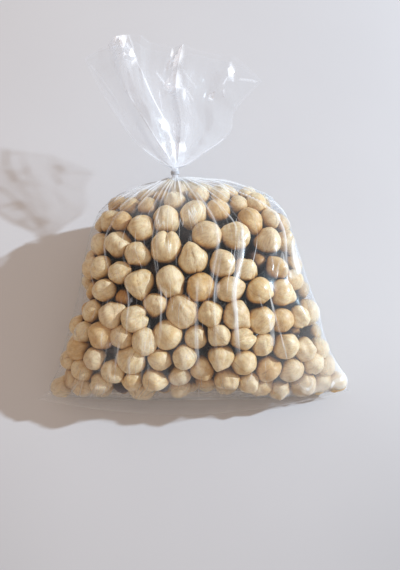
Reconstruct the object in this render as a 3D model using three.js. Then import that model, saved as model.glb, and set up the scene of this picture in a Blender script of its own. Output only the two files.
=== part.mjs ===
// A clear film bag full of hazelnut kernels, lying on its back, tied near its top.
//
// Millimetres, +Z up. The sealed bottom end points to -Y, the tied neck and the open
// mouth beyond it to +Y. The bag is one closed loft: a flat sealed fin, the filled body,
// the gathered neck and the thin, creased mouth that spreads out beyond the tie.
// The tie is a ring of three turns of elastic thread round the neck.

import * as THREE from "three";

// ---- driving dimensions ----------------------------------------------------------------

const NUT_SPACING = 12.4; // between neighbouring kernels under the film
const NUT_RADIUS = 7.4; // reach of the bulge that one kernel presses into the film
const NUT_RELIEF = 2.1; // height of that bulge
const NUT_SEED = 11;
const RELIEF_STARTS = [1, 5]; // rings from the seal over which the bulges grow to full height
const RELIEF_ENDS = [9, 3]; // rings before the neck over which they fade again
const LYING_FLAT = [0.35, 0.8]; // slope facing down from which, and at which, there are none

const FILM_HALF = 0.45; // half thickness of the doubled film of fin and mouth
const FIN_FLAT = 8; // section exponent: keeps the doubled film at full thickness to its edges

const NECK = new THREE.Vector3(-14, 71, 46); // middle of the tie
const NECK_RISE = THREE.MathUtils.degToRad(34); // the neck climbs away from the body
const NECK_RADIUS = 1.8;
const NECK_HALF_LENGTH = 2.6;

const TIE_GAP = 0.3;
const TIE_TURNS = 3;
const TIE_THREAD = 0.8; // thickness of the thread
const TIE_SIDES = 28;
const TURN_STEPS = 4; // faces over the round outside of one turn
const TURN_ANGLE = 1.2; // half the angle of that arc, in radians

const MOUTH_RISE = THREE.MathUtils.degToRad(17); // slope of the spread mouth
const MOUTH_BOW = 12; // how far the middle of its edge reaches past its corners
const MOUTH_GATHER = 0.22; // part of its length over which the round neck turns into a flat sheet
const MOUTH_RUNOUT = 0.8; // part of its length over which the folds grow to full height

// Folds across the mouth, as [place from -1 to 1, height]: flat panels meet at them, and the
// tall strip between its left corner and its middle stands above the rest.
const MOUTH_FOLDS = [
  [-1, 0],
  [-0.74, -0.6],
  [-0.64, 4.2],
  [-0.34, 5.6],
  [-0.24, 0.6],
  [0.02, -1.2],
  [0.12, 2.2],
  [0.3, 0.4],
  [0.56, -1.4],
  [0.68, 1.4],
  [1, 0],
];

const AROUND = 92; // points in one section, a multiple of 4
const RINGS = { fin: 2, body: 3, mouth: 19 };

// ---- sections of the fin and body --------------------------------------------------------
// left, right: the two side edges. top, bottom: highest and lowest line, as [y, z].
// above, below: exponents [across, up] of the superellipse over and under the side edges.
// Sections that would reach below the ground are pressed flat on it.

const LENS = [2.5, 1.4];
const BLUNT = [2.8, 2.1];
const DOME = [2.3, 1.9];
const FLAT_BASE = [2.9, 2.5];
const ROUND = [2, 2];

const section = (left, right, top, bottom, above, below) => ({ left, right, top, bottom, above, below });

const BODY = [
  section([-83, -45, 8], [81, -42.5, 8], [-49.5, 10.5], [-45, 1.2], LENS, LENS),
  section([-80.5, -41, 10.5], [78.5, -38, 10.5], [-49, 19], [-41, 0.3], BLUNT, BLUNT),
  section([-77, -34, 16], [74.5, -30.5, 15], [-43, 33], [-33, -1], [2.4, 1.9], BLUNT),
  section([-73.5, -22, 21], [69.5, -20, 20], [-28, 46], [-21, -3], DOME, FLAT_BASE),
  section([-69.5, -6, 25], [65, -5, 25], [-8, 54], [-6, -4], DOME, FLAT_BASE),
  section([-67, 10, 27], [61, 10, 27], [11, 58], [9, -4], DOME, FLAT_BASE),
  section([-65.5, 26, 28], [57, 27, 28], [29, 59], [25, -4], DOME, FLAT_BASE),
  section([-63.5, 41, 29], [53.5, 41, 29], [44, 57.5], [40, -3], DOME, FLAT_BASE),
  section([-58, 54, 30], [49, 54, 30], [55, 54.5], [54, 2], DOME, [2.5, 2.2]),
  section([-49, 63.5, 31], [40, 65, 31], [61, 51], [66, 10], [2.2, 1.8], ROUND),
  section([-34, 70, 34.5], [19, 73, 34.5], [64.5, 47.8], [73.5, 22], ROUND, ROUND),
  section([-21.5, 71, 39], [-6.5, 73, 39], [66.3, 45.8], [74.5, 32.5], ROUND, ROUND),
];

// The sealed fin under the front of the body: its outer edge and the seal line.
const FIN = [
  { left: [-89.5, -48.5, 6.5], right: [83, -44, 6.5], middle: [-56.5, 1.6] },
  { left: [-86, -46.5, 7.2], right: [82, -43.8, 7.2], middle: [-47.5, 2.6] },
];

// ---- side edges of the spread mouth, from the neck to the two corners of its rim ----------

const MOUTH_LEFT = [
  [-21, 76, 47.5],
  [-31, 83, 49.5],
  [-40, 92.5, 52],
  [-48, 104, 55],
  [-56, 117, 57.5],
  [-62.5, 129, 59.5],
  [-67.5, 139.5, 61],
];
const MOUTH_RIGHT = [
  [-6, 76, 47.5],
  [3, 82.5, 49],
  [12, 89, 50],
  [18, 96.5, 51.5],
  [19.5, 106, 54],
  [26, 114, 57],
  [35.5, 123.5, 60],
];

// ---- small helpers -------------------------------------------------------------------------

const vec = (p) => new THREE.Vector3(...p);
const lerp = THREE.MathUtils.lerp;
const smooth = THREE.MathUtils.smoothstep;
const power = (value, exponent) => Math.sign(value) * Math.abs(value) ** exponent;
const spline = (points) => new THREE.CatmullRomCurve3(points, false, "catmullrom", 0.5);

function seededRandom(seed) {
  let state = seed;
  return () => {
    state = (state * 1664525 + 1013904223) % 4294967296;
    return state / 4294967296;
  };
}

/** One closed section: points round the lens or superellipse between the side edges. */
function ring({ left, right, top, bottom, bow, above, below }) {
  const middle = left.clone().lerp(right, 0.5);
  const halfSpan = right.clone().sub(middle);
  const centre = middle.clone().add(bow);
  return Array.from({ length: AROUND }, (_, i) => {
    const angle = (2 * Math.PI * i) / AROUND;
    const upper = Math.sin(angle) >= 0;
    const [across, up] = upper ? above : below;
    const u = power(Math.cos(angle), 2 / across);
    const lift = (upper ? top : bottom).clone().sub(centre);
    return middle
      .clone()
      .addScaledVector(halfSpan, u)
      .addScaledVector(bow, 1 - u * u)
      .addScaledVector(lift, Math.abs(Math.sin(angle)) ** (2 / up));
  });
}

// ---- fin, body and neck ----------------------------------------------------------------------

const NO_BOW = new THREE.Vector3();

function finSection({ left, right, middle: [y, z] }) {
  const from = vec(left);
  const to = vec(right);
  const chord = from.clone().lerp(to, 0.5);
  const centre = new THREE.Vector3(chord.x, y, z);
  return {
    left: from,
    right: to,
    top: centre.clone().setZ(z + FILM_HALF),
    bottom: centre.clone().setZ(z - FILM_HALF),
    bow: centre.clone().sub(chord),
    above: [2, FIN_FLAT],
    below: [2, FIN_FLAT],
  };
}

function bodySection({ left, right, top, bottom, above, below }) {
  const x = (left[0] + right[0]) / 2;
  return {
    left: vec(left),
    right: vec(right),
    top: new THREE.Vector3(x, ...top),
    bottom: new THREE.Vector3(x, ...bottom),
    bow: NO_BOW,
    above,
    below,
  };
}

const neckAxis = new THREE.Vector3(0, Math.cos(NECK_RISE), Math.sin(NECK_RISE));
const neckUp = new THREE.Vector3(0, -Math.sin(NECK_RISE), Math.cos(NECK_RISE));
const sideways = new THREE.Vector3(1, 0, 0);

function neckSection(along) {
  const centre = NECK.clone().addScaledVector(neckAxis, along);
  const at = (direction, r) => centre.clone().addScaledVector(direction, r);
  return {
    left: at(sideways, -NECK_RADIUS),
    right: at(sideways, NECK_RADIUS),
    top: at(neckUp, NECK_RADIUS),
    bottom: at(neckUp, -NECK_RADIUS),
    bow: NO_BOW,
    above: ROUND,
    below: ROUND,
  };
}

/** Rings through the given sections, with `steps` rings for each gap between two of them. */
function loftRings(sections, steps) {
  const rail = (name) => spline(sections.map((s) => s[name]));
  const [left, right, top, bottom, bow] = ["left", "right", "top", "bottom", "bow"].map(rail);
  const gaps = sections.length - 1;
  const rings = [];
  for (let k = 0; k <= gaps * steps; k++) {
    const t = k / (gaps * steps);
    const i = Math.min(Math.floor(t * gaps), gaps - 1);
    const blend = t * gaps - i;
    const mix = (name) => sections[i][name].map((v, j) => lerp(v, sections[i + 1][name][j], blend));
    rings.push(
      ring({
        left: left.getPoint(t),
        right: right.getPoint(t),
        top: top.getPoint(t),
        bottom: bottom.getPoint(t),
        bow: bow.getPoint(t),
        above: mix("above"),
        below: mix("below"),
      }),
    );
  }
  return rings;
}

// ---- spread mouth ------------------------------------------------------------------------------

const mouthUp = new THREE.Vector3(0, -Math.sin(MOUTH_RISE), Math.cos(MOUTH_RISE));
const mouthOut = new THREE.Vector3(0, Math.cos(MOUTH_RISE), Math.sin(MOUTH_RISE));

/** Height of the folds across the mouth: they all run together in the neck. */
function foldHeight(u, v) {
  const place = Math.min(Math.max(u, -1), 1);
  const next = Math.max(1, MOUTH_FOLDS.findIndex(([fold]) => fold >= place));
  const [from, low] = MOUTH_FOLDS[next - 1];
  const [to, high] = MOUTH_FOLDS[next];
  return lerp(low, high, (place - from) / (to - from)) * smooth(v, 0, MOUTH_RUNOUT);
}

function mouthRings() {
  const neckEnd = neckSection(NECK_HALF_LENGTH);
  const left = spline([neckEnd.left, ...MOUTH_LEFT.map(vec)]);
  const right = spline([neckEnd.right, ...MOUTH_RIGHT.map(vec)]);
  const rings = [];
  for (let k = 1; k <= RINGS.mouth; k++) {
    const v = k / RINGS.mouth;
    const spread = smooth(v, 0, MOUTH_GATHER);
    const half = lerp(NECK_RADIUS, FILM_HALF, spread);
    const edge = lerp(2, FIN_FLAT, spread);
    const from = left.getPoint(v);
    const to = right.getPoint(v);
    rings.push(
      Array.from({ length: AROUND }, (_, i) => {
        const angle = (2 * Math.PI * i) / AROUND;
        const even = 1 - (2 * Math.min(i, AROUND - i)) / (AROUND / 2);
        const u = lerp(Math.cos(angle), even, spread);
        const side = Math.sign(Math.sin(angle)) * Math.abs(Math.sin(angle)) ** (2 / edge);
        return from
          .clone()
          .lerp(to, (u + 1) / 2)
          .addScaledVector(mouthOut, MOUTH_BOW * (1 - u ** 4) * v ** 3)
          .addScaledVector(mouthUp, foldHeight(u, v) + half * side);
      }),
    );
  }
  return rings;
}

// ---- bulges of the kernels under the film -----------------------------------------------------

/** Centres picked at random among the body's points, none nearer than the spacing. */
function kernelCentres(points) {
  const random = seededRandom(NUT_SEED);
  const order = points.map((point) => ({ point, key: random() })).sort((a, b) => a.key - b.key);
  const centres = [];
  for (const { point } of order) {
    if (centres.every((c) => c.distanceTo(point) > NUT_SPACING)) centres.push(point);
  }
  return centres;
}

/** Pushes the body's points out over each kernel, except where the bag lies flat. */
function pressKernels(rings) {
  const last = rings.length - 1;
  const inner = rings.slice(1, last).flat();
  const centres = kernelCentres(inner);
  const moves = [];
  for (let k = 1; k < last; k++) {
    for (let i = 0; i < AROUND; i++) {
      const here = rings[k][i];
      const along = rings[k + 1][i].clone().sub(rings[k - 1][i]);
      const round = rings[k][(i + 1) % AROUND].clone().sub(rings[k][(i + AROUND - 1) % AROUND]);
      const outward = along.cross(round).normalize();
      const near = Math.min(...centres.map((c) => c.distanceTo(here)));
      const bulge = Math.max(0, 1 - (near / NUT_RADIUS) ** 2);
      const ends =
        smooth(k, ...RELIEF_STARTS) * (1 - smooth(k, last - RELIEF_ENDS[0], last - RELIEF_ENDS[1]));
      const lying = 1 - smooth(-outward.z, ...LYING_FLAT);
      moves.push([here, outward.multiplyScalar(NUT_RELIEF * bulge * ends * lying)]);
    }
  }
  moves.forEach(([point, move]) => point.add(move));
}

// ---- closed meshes -------------------------------------------------------------------------------

/** A closed solid from rings of points; each end ring is flat and zipped shut. */
function loftGeometry(rings) {
  const position = rings.flat().flatMap((p) => p.toArray());
  const index = [];
  const id = (k, i) => k * AROUND + ((i + AROUND) % AROUND);
  for (let k = 0; k < rings.length - 1; k++) {
    for (let i = 0; i < AROUND; i++) {
      index.push(id(k, i), id(k + 1, i + 1), id(k, i + 1), id(k, i), id(k + 1, i), id(k + 1, i + 1));
    }
  }
  for (const [k, flip] of [[0, false], [rings.length - 1, true]]) {
    for (let i = 0; i < AROUND / 2; i++) {
      const [a, b, c, d] = [id(k, i), id(k, i + 1), id(k, -i - 1), id(k, -i)];
      const faces = [...(b === c ? [] : [[a, b, c]]), ...(a === d ? [] : [[a, c, d]])];
      faces.forEach((f) => index.push(...(flip ? f.reverse() : f)));
    }
  }
  const geometry = new THREE.BufferGeometry();
  geometry.setAttribute("position", new THREE.Float32BufferAttribute(position, 3));
  geometry.setIndex(index);
  geometry.computeVertexNormals();
  return geometry;
}

function bagGeometry() {
  const body = BODY.map(bodySection);
  const neck = [neckSection(-NECK_HALF_LENGTH), neckSection(NECK_HALF_LENGTH)];
  const fin = loftRings([...FIN.map(finSection), body[0]], RINGS.fin);
  const filled = loftRings([...body, neck[0]], RINGS.body);
  pressKernels(filled);
  filled.flat().forEach((point) => point.setZ(Math.max(point.z, 0)));
  return loftGeometry([...fin.slice(0, -1), ...filled, ring(neck[1]), ...mouthRings()]);
}

/** Profile of the wound thread: round outside on every turn, straight inside. */
function tieProfile() {
  const inner = NECK_RADIUS + TIE_GAP;
  const halfLength = (TIE_TURNS * TIE_THREAD) / 2;
  const points = [new THREE.Vector2(inner, -halfLength)];
  for (let turn = 0; turn < TIE_TURNS; turn++) {
    const middle = (turn + 0.5) * TIE_THREAD - halfLength;
    for (let k = 0; k <= TURN_STEPS; k++) {
      const angle = TURN_ANGLE * ((2 * k) / TURN_STEPS - 1);
      const reach = inner + TIE_THREAD * (0.35 + 0.5 * Math.cos(angle));
      points.push(new THREE.Vector2(reach, middle + 0.5 * TIE_THREAD * Math.sin(angle)));
    }
  }
  points.push(new THREE.Vector2(inner, halfLength), points[0].clone());
  return points;
}

// ---- materials and assembly -------------------------------------------------------------------------

const filmOverNuts = new THREE.MeshStandardMaterial({ color: 0xd2b48a, roughness: 0.35, metalness: 0 });
const tieThread = new THREE.MeshStandardMaterial({ color: 0xe4e4e8, roughness: 0.4, metalness: 0 });

const bag = new THREE.Mesh(bagGeometry(), filmOverNuts);
bag.name = "bag";

const tie = new THREE.Mesh(new THREE.LatheGeometry(tieProfile(), TIE_SIDES), tieThread);
tie.name = "tie";
tie.position.copy(NECK);
tie.quaternion.setFromUnitVectors(new THREE.Vector3(0, 1, 0), neckAxis);

const model = new THREE.Group();
model.add(bag, tie);

// The origin is the middle of the part's footprint.
const footprint = new THREE.Box3().setFromObject(model);
const middle = footprint.getCenter(new THREE.Vector3());
model.position.set(-middle.x, -middle.y, -footprint.min.z);

export default model;
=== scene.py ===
"""A clear film bag of skinned hazelnut kernels, lying on its back with its neck tied.

Shapes are worked out in millimetres, in the bag's own layout (sealed end towards -Y, tied
neck towards +Y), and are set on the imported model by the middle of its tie.
"""

import math
from functools import lru_cache

import bpy
import numpy as np
from bpy.props import FloatProperty, FloatVectorProperty, IntProperty, PointerProperty
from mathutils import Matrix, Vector
from mathutils.bvhtree import BVHTree


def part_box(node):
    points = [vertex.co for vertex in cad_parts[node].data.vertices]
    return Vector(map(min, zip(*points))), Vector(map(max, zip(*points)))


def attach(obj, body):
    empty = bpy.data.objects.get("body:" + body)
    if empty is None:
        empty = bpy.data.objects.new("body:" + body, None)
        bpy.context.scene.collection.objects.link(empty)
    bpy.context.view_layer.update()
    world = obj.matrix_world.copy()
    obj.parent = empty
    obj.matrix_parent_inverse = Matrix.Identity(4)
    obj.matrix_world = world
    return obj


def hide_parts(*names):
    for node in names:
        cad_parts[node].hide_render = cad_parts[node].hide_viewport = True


bl_info = {
    "name": "Bag of Hazelnut Kernels",
    "version": (1, 0, 0),
    "blender": (4, 5, 0),
    "location": "View3D > Sidebar > Nut Bag",
    "description": "Builds a tied clear film bag filled with skinned hazelnut kernels",
    "category": "Object",
}

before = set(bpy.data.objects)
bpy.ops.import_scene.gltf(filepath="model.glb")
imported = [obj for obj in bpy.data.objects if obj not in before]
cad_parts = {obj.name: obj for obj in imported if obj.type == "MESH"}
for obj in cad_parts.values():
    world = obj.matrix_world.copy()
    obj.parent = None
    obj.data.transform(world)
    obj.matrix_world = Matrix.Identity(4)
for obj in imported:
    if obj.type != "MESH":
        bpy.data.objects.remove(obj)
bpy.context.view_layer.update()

MM = 0.001
BODY_NAME = "root"
FLOOR_HALF = 3.0  # metres
FLOOR_LEVEL = -0.0003  # just under the bag, in metres

# ---- layout of the bag, in millimetres ----------------------------------------------------------

NECK = np.array([-14.0, 71.0, 46.0])  # middle of the tie
NECK_RISE = math.radians(34)
NECK_RADIUS = 1.7
NECK_HALF_LENGTH = 2.6
NECK_PLEATS = 17
NECK_AXIS = np.array([0.0, math.cos(NECK_RISE), math.sin(NECK_RISE)])
NECK_UP = np.array([0.0, -math.sin(NECK_RISE), math.cos(NECK_RISE)])
ACROSS = np.array([1.0, 0.0, 0.0])

LENS = (2.5, 1.4)
BLUNT = (2.8, 2.1)
DOME = (2.3, 1.9)
FLAT_BASE = (2.9, 2.5)
ROUND = (2.0, 2.0)

# Sections of the filled body: the two side edges, the top and bottom line as (y, z), and the
# superellipse exponents (across, up) above and below the side edges.
BODY_SECTIONS = (
    ((-83, -45, 8), (81, -42.5, 8), (-49.5, 10.5), (-45, 1.2), LENS, LENS),
    ((-80.5, -41, 10.5), (78.5, -38, 10.5), (-49, 19), (-41, 0.3), BLUNT, BLUNT),
    ((-77, -34, 16), (74.5, -30.5, 15), (-43, 33), (-33, -1), (2.4, 1.9), BLUNT),
    ((-73.5, -22, 21), (69.5, -20, 20), (-28, 46), (-21, -3), DOME, FLAT_BASE),
    ((-69.5, -6, 25), (65, -5, 25), (-8, 54), (-6, -4), DOME, FLAT_BASE),
    ((-67, 10, 27), (61, 10, 27), (11, 58), (9, -4), DOME, FLAT_BASE),
    ((-65.5, 26, 28), (57, 27, 28), (29, 59), (25, -4), DOME, FLAT_BASE),
    ((-63.5, 41, 29), (53.5, 41, 29), (44, 57.5), (40, -3), DOME, FLAT_BASE),
    ((-58, 54, 30), (49, 54, 30), (55, 54.5), (54, 2), DOME, (2.5, 2.2)),
    ((-49, 63.5, 31), (40, 65, 31), (61, 51), (66, 10), (2.2, 1.8), ROUND),
    ((-34, 70, 34.5), (19, 73, 34.5), (64.5, 47.8), (73.5, 22), ROUND, ROUND),
    ((-21.5, 71, 39), (-6.5, 73, 39), (66.3, 45.8), (74.5, 32.5), ROUND, ROUND),
)

# The sealed fin: side corners and the middle of its edge as (y, z), outer edge and seal line.
FIN_SECTIONS = (
    ((-89.5, -48.5, 6.5), (83, -44, 6.5), (-56.5, 1.6)),
    ((-86, -46.5, 7.2), (82, -43.8, 7.2), (-47.5, 2.6)),
)
FIN_HALF = 0.2

MOUTH_RISE = math.radians(17)
MOUTH_UP = np.array([0.0, -math.sin(MOUTH_RISE), math.cos(MOUTH_RISE)])
MOUTH_OUT = np.array([0.0, math.cos(MOUTH_RISE), math.sin(MOUTH_RISE)])
MOUTH_LEFT = (
    (-21, 76, 47.5), (-31, 83, 49.5), (-40, 92.5, 52), (-48, 104, 55),
    (-56, 117, 57.5), (-62.5, 129, 59.5), (-67.5, 139.5, 61),
)
MOUTH_RIGHT = (
    (-6, 76, 47.5), (3, 82.5, 49), (12, 89, 50), (18, 96.5, 51.5),
    (19.5, 106, 54), (26, 114, 57), (35.5, 123.5, 60),
)
MOUTH_BOW = 12.0
MOUTH_LENGTH = 75.0

# Folds across the front and the back sheet of the mouth: place from -1 to 1, and height.
FRONT_FOLDS = (
    (-1, 0), (-0.74, -0.6), (-0.64, 4.2), (-0.34, 5.6), (-0.24, 0.6), (0.02, -1.2),
    (0.12, 2.2), (0.3, 0.4), (0.56, -1.4), (0.68, 1.4), (1, 0),
)
BACK_FOLDS = (
    (-1, 0), (-0.82, 0.6), (-0.6, 3.0), (-0.42, 4.4), (-0.3, -0.4), (-0.08, 0.8),
    (0.06, -1.6), (0.22, 0.8), (0.44, -1.0), (0.8, 0.8), (1, 0),
)

# White creases in the mouth: from and to as (place across, part of the length), half width in
# millimetres and milkiness.
MOUTH_CREASES = (
    ((-0.47, 0.93), (-0.31, 0.75), 0.4, 0.5),
    ((-0.31, 0.75), (-0.18, 0.54), 0.6, 0.7),
    ((-0.18, 0.54), (-0.1, 0.4), 0.9, 0.8),
    ((-0.1, 0.4), (0.0, 0.15), 0.6, 0.55),
    ((-0.65, 0.68), (-0.58, 0.55), 0.35, 0.4),
    ((-0.58, 0.55), (-0.45, 0.37), 0.4, 0.5),
    ((-0.45, 0.37), (-0.3, 0.2), 0.45, 0.55),
    ((-0.15, 0.83), (0.0, 0.76), 0.35, 0.5),
    ((0.0, 0.76), (0.3, 0.745), 0.35, 0.5),
    ((0.3, 0.745), (0.38, 0.7), 0.3, 0.4),
    ((0.19, 0.86), (0.39, 0.79), 0.3, 0.3),
    ((0.12, 0.99), (-0.02, 0.9), 0.5, 0.6),
    ((0.1, 0.93), (-0.04, 0.86), 0.45, 0.5),
    ((0.98, 0.28), (0.98, 0.46), 0.35, 0.4),
    ((0.85, 0.92), (0.97, 0.97), 0.35, 0.4),
    ((0.69, 0.96), (0.8, 0.89), 0.45, 0.6),
    ((0.73, 0.885), (0.73, 0.84), 0.35, 0.5),
    ((0.76, 0.81), (0.79, 0.78), 0.4, 0.6),
    ((-0.62, 0.995), (-0.5, 0.94), 0.6, 0.6),
    ((-0.5, 0.94), (-0.42, 0.88), 0.6, 0.6),
    ((-0.48, 1.0), (-0.42, 0.92), 0.4, 0.5),
    ((-0.13, 0.72), (-0.17, 0.6), 0.3, 0.3),
    ((0.2, 0.78), (0.32, 0.69), 0.3, 0.35),
    ((-0.97, 0.92), (-0.85, 0.64), 0.3, 0.15),
    ((-0.98, 0.3), (-0.8, 0.14), 0.5, 0.3),
    ((-0.03, 0.47), (0.15, 0.31), 0.45, 0.4),
)

# Bluish strip folded over in the mouth: part of the length, then its left and right edge.
MOUTH_STRIP = (
    (0, -0.15, 0.1), (0.2, -0.3, -0.02), (0.37, -0.45, -0.09), (0.55, -0.58, -0.19),
    (0.68, -0.65, -0.27), (0.93, -0.72, -0.47), (1, -0.74, -0.5),
)

# Places of the mouth's painted glints, white and shinier patches on bent facets leaned towards the key
# light:
# place across, part of the length, half width in millimetres and strength.
MOUTH_PAINTED_GLINTS = (
    (-0.58, 0.96, 6, 0.9), (-0.48, 0.88, 5, 0.9), (0.05, 0.93, 6, 1.0), (0.08, 0.79, 6, 0.7),
    (0.72, 0.92, 3, 0.7), (0.64, 0.76, 2.5, 0.7), (-0.1, 0.3, 7, 0.6), (0.25, 0.33, 5, 0.5),
    (0.0, 0.08, 3, 0.5), (0.3, 0.72, 4, 0.6), (-0.2, 0.5, 4, 0.6),
)

# ---- camera and light, in the same layout -------------------------------------------------------

IMAGE_WIDTH_PX = 400
FOCAL_PX = 400
CAMERA_RISE = math.radians(70)
CAMERA_TARGET = np.array([0.0, 0.0, 57.0])
CAMERA_DISTANCE = 190.0
CAMERA_BACK = np.array([0.0, -math.cos(CAMERA_RISE), math.sin(CAMERA_RISE)])
CAMERA_PLACE = CAMERA_TARGET + CAMERA_BACK * CAMERA_DISTANCE
PICTURE_UP = np.array([0.0, math.sin(CAMERA_RISE), math.cos(CAMERA_RISE)])
PICTURE_CENTRE = (200, 285)
LIGHT_WAY = np.array([1.714, 0.402, 1.0])  # from the bag towards the light

# Kernels that show in the picture: middle and width in its pixels, depth behind the film in
# millimetres and, where the shape is plain to see, the kind and the way its tip points in degrees.
FRONT_KERNELS = (
    (179, 189, 19, 0), (175, 201, 21, 1), (164, 201, 20, 2), (199, 195, 19, 2), (221, 193, 18, 3),
    (248, 196, 18, 3), (262, 203, 18, 4), (131, 208, 19, 3), (148, 207, 20, 3), (217, 210, 24, 1),
    (240, 206, 20, 3), (259, 212, 18, 4), (270, 218, 21, 1), (121, 222, 20, 2), (105, 224, 18, 2),
    (141, 228, 27, 0), (166, 221, 27, 0, "plump", 90), (194, 218, 28, 0, "plump", 60),
    (250, 220, 25, 0, "pointed", 300), (286, 241, 20, 2), (101, 244, 23, 1), (120, 245, 27, 0),
    (138, 255, 26, 1), (166, 249, 32, 0, "lobed", 85), (189, 238, 18, 7), (206, 236, 30, 0),
    (235, 236, 28, 0), (267, 242, 27, 0, "furrowed", 80), (90, 259, 19, 2), (98, 267, 23, 1),
    (117, 273, 25, 1, "pointed", 95), (139, 283, 28, 0, "pointed", 280),
    (171, 284, 32, 0, "pointed", 285), (194, 259, 30, 0, "pointed", 105), (222, 265, 28, 0),
    (255, 263, 27, 0, "furrowed", 110),
    (276, 268, 23, 1), (292, 267, 22, 2), (88, 281, 18, 2), (99, 291, 24, 1), (125, 299, 23, 4),
    (157, 304, 25, 2, "pointed", 260), (201, 288, 29, 0), (229, 291, 28, 0), (260, 291, 27, 0),
    (281, 293, 26, 1), (300, 289, 20, 2), (93, 310, 20, 3), (113, 316, 26, 0),
    (134, 321, 27, 0, "lobed", 15), (182, 314, 32, 0, "plump", 120), (210, 314, 26, 0, "pointed", 90),
    (238, 316, 29, 0, "pointed", 330), (260, 321, 27, 1), (281, 320, 25, 1), (299, 318, 21, 1),
    (76, 326, 16, 3), (84, 334, 20, 1), (103, 335, 27, 0, "plump", 45), (126, 335, 18, 8),
    (167, 334, 31, 1), (205, 336, 20, 3), (218, 335, 23, 0), (243, 336, 24, 2, "lobed", 20),
    (238, 343, 20, 5), (313, 333, 21, 2), (75, 343, 18, 2), (66, 357, 17, 1), (92, 358, 25, 1),
    (113, 349, 20, 3), (131, 358, 28, 0, "furrowed", 60), (150, 346, 26, 2),
    (173, 364, 30, 0, "furrowed", 150), (193, 348, 30, 0),
    (221, 357, 25, 0, "pointed", 270), (245, 358, 28, 0, "pointed", 215),
    (268, 349, 26, 1), (288, 345, 26, 1), (304, 352, 23, 1), (322, 350, 18, 2), (315, 361, 21, 1),
    (82, 370, 21, 0), (114, 370, 24, 0), (102, 381, 20, -1), (133, 378, 18, 0), (154, 379, 23, -2),
    (180, 385, 21, -2), (204, 375, 23, 0), (228, 378, 23, -1), (250, 384, 18, -2),
    (268, 373, 25, 0, "pointed", 200), (291, 368, 25, 0), (277, 387, 20, -2), (301, 384, 24, -2),
    (323, 381, 22, -2, "pointed", 250), (340, 386, 17, -2), (64, 386, 17, -2), (82, 387, 17, -2),
)


# ---- numbers shared by the operators ------------------------------------------------------------


def tie_centre():
    """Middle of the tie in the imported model, in metres."""
    low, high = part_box("tie")
    return (np.array(low) + np.array(high)) / 2


def placed(points_mm):
    """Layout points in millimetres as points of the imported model's frame in metres."""
    return (np.asarray(points_mm) - NECK) * MM + tie_centre()


def smooth(value, low, high):
    """Smooth step: 0 at or under low, 1 at or over high."""
    t = np.clip((value - low) / (high - low), 0.0, 1.0)
    return t * t * (3 - 2 * t)


def signed_power(value, exponent):
    """The value's size raised to a power, with its sign kept."""
    return np.sign(value) * np.abs(value) ** exponent


def spline(points, t):
    """Points at t, from 0 to 1, on a uniform Catmull-Rom curve through the given points."""
    p = np.asarray(points, float)
    p = np.vstack([2 * p[0] - p[1], p, 2 * p[-1] - p[-2]])
    gaps = len(points) - 1
    place = np.clip(np.asarray(t, float), 0, 1) * gaps
    i = np.minimum(place.astype(int), gaps - 1)
    w = (place - i)[:, None]
    a, b, c, d = p[i], p[i + 1], p[i + 2], p[i + 3]
    return 0.5 * (
        2 * b + (c - a) * w + (2 * a - 5 * b + 4 * c - d) * w**2 + (3 * b - a - 3 * c + d) * w**3
    )


def blend_rows(rows, t):
    """Straight blend between the rows of a small table, at t from 0 to 1."""
    rows = np.asarray(rows, float)
    place = np.clip(t, 0, 1) * (len(rows) - 1)
    i = np.minimum(place.astype(int), len(rows) - 2)
    w = (place - i)[:, None]
    return rows[i] * (1 - w) + rows[i + 1] * w


def neck_ring(along, radius=NECK_RADIUS):
    """Side, top and bottom points of the round neck at a distance along its axis."""
    centre = NECK + NECK_AXIS * along
    return (
        centre - ACROSS * radius,
        centre + ACROSS * radius,
        centre + NECK_UP * radius,
        centre - NECK_UP * radius,
    )


def loft(left, right, top, bottom, bow, above, below, t, angle):
    """Grid of points [ring, angle] on the sections that the rails and exponents give at t."""
    rails = (left, right, top, bottom, bow)
    left, right, top, bottom, bow = (spline(rail, t)[:, None, :] for rail in rails)
    above, below = blend_rows(above, t), blend_rows(below, t)
    upper = np.sin(angle)[None, :] >= 0
    across = np.where(upper, above[:, :1], below[:, :1])
    up = np.where(upper, above[:, 1:], below[:, 1:])
    u = signed_power(np.cos(angle)[None, :], 2 / across)[..., None]
    lift = np.abs(np.sin(angle))[None, :] ** (2 / up)
    middle = (left + right) / 2
    crown = np.where(upper[..., None], top, bottom) - middle - bow
    return middle + (right - left) / 2 * u + bow * (1 - u * u) + crown * lift[..., None]


def body_rails():
    """Rails of the filled body, from its sealed end to the start of the neck."""
    neck = neck_ring(-NECK_HALF_LENGTH)
    left = [s[0] for s in BODY_SECTIONS] + [neck[0]]
    right = [s[1] for s in BODY_SECTIONS] + [neck[1]]
    middle = [(s[0][0] + s[1][0]) / 2 for s in BODY_SECTIONS]
    top = [(x, *s[2]) for x, s in zip(middle, BODY_SECTIONS)] + [neck[2]]
    bottom = [(x, *s[3]) for x, s in zip(middle, BODY_SECTIONS)] + [neck[3]]
    bow = [(0, 0, 0)] * len(left)
    above = [s[4] for s in BODY_SECTIONS] + [ROUND]
    below = [s[5] for s in BODY_SECTIONS] + [ROUND]
    return left, right, top, bottom, bow, above, below


def body_grid(t, angle):
    """Smooth film of the filled body, pressed flat where it lies."""
    grid = loft(*body_rails(), t, angle)
    grid[..., 2] = np.maximum(grid[..., 2], 0.0)
    return grid


def grid_normals(grid):
    """Unit outward normals of a grid [ring, angle] that is closed round its angle."""
    along = np.gradient(grid, axis=0)
    around = np.roll(grid, -1, axis=1) - np.roll(grid, 1, axis=1)
    normal = np.cross(along, around)
    return normal / np.maximum(np.linalg.norm(normal, axis=-1, keepdims=True), 1e-9)


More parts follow.
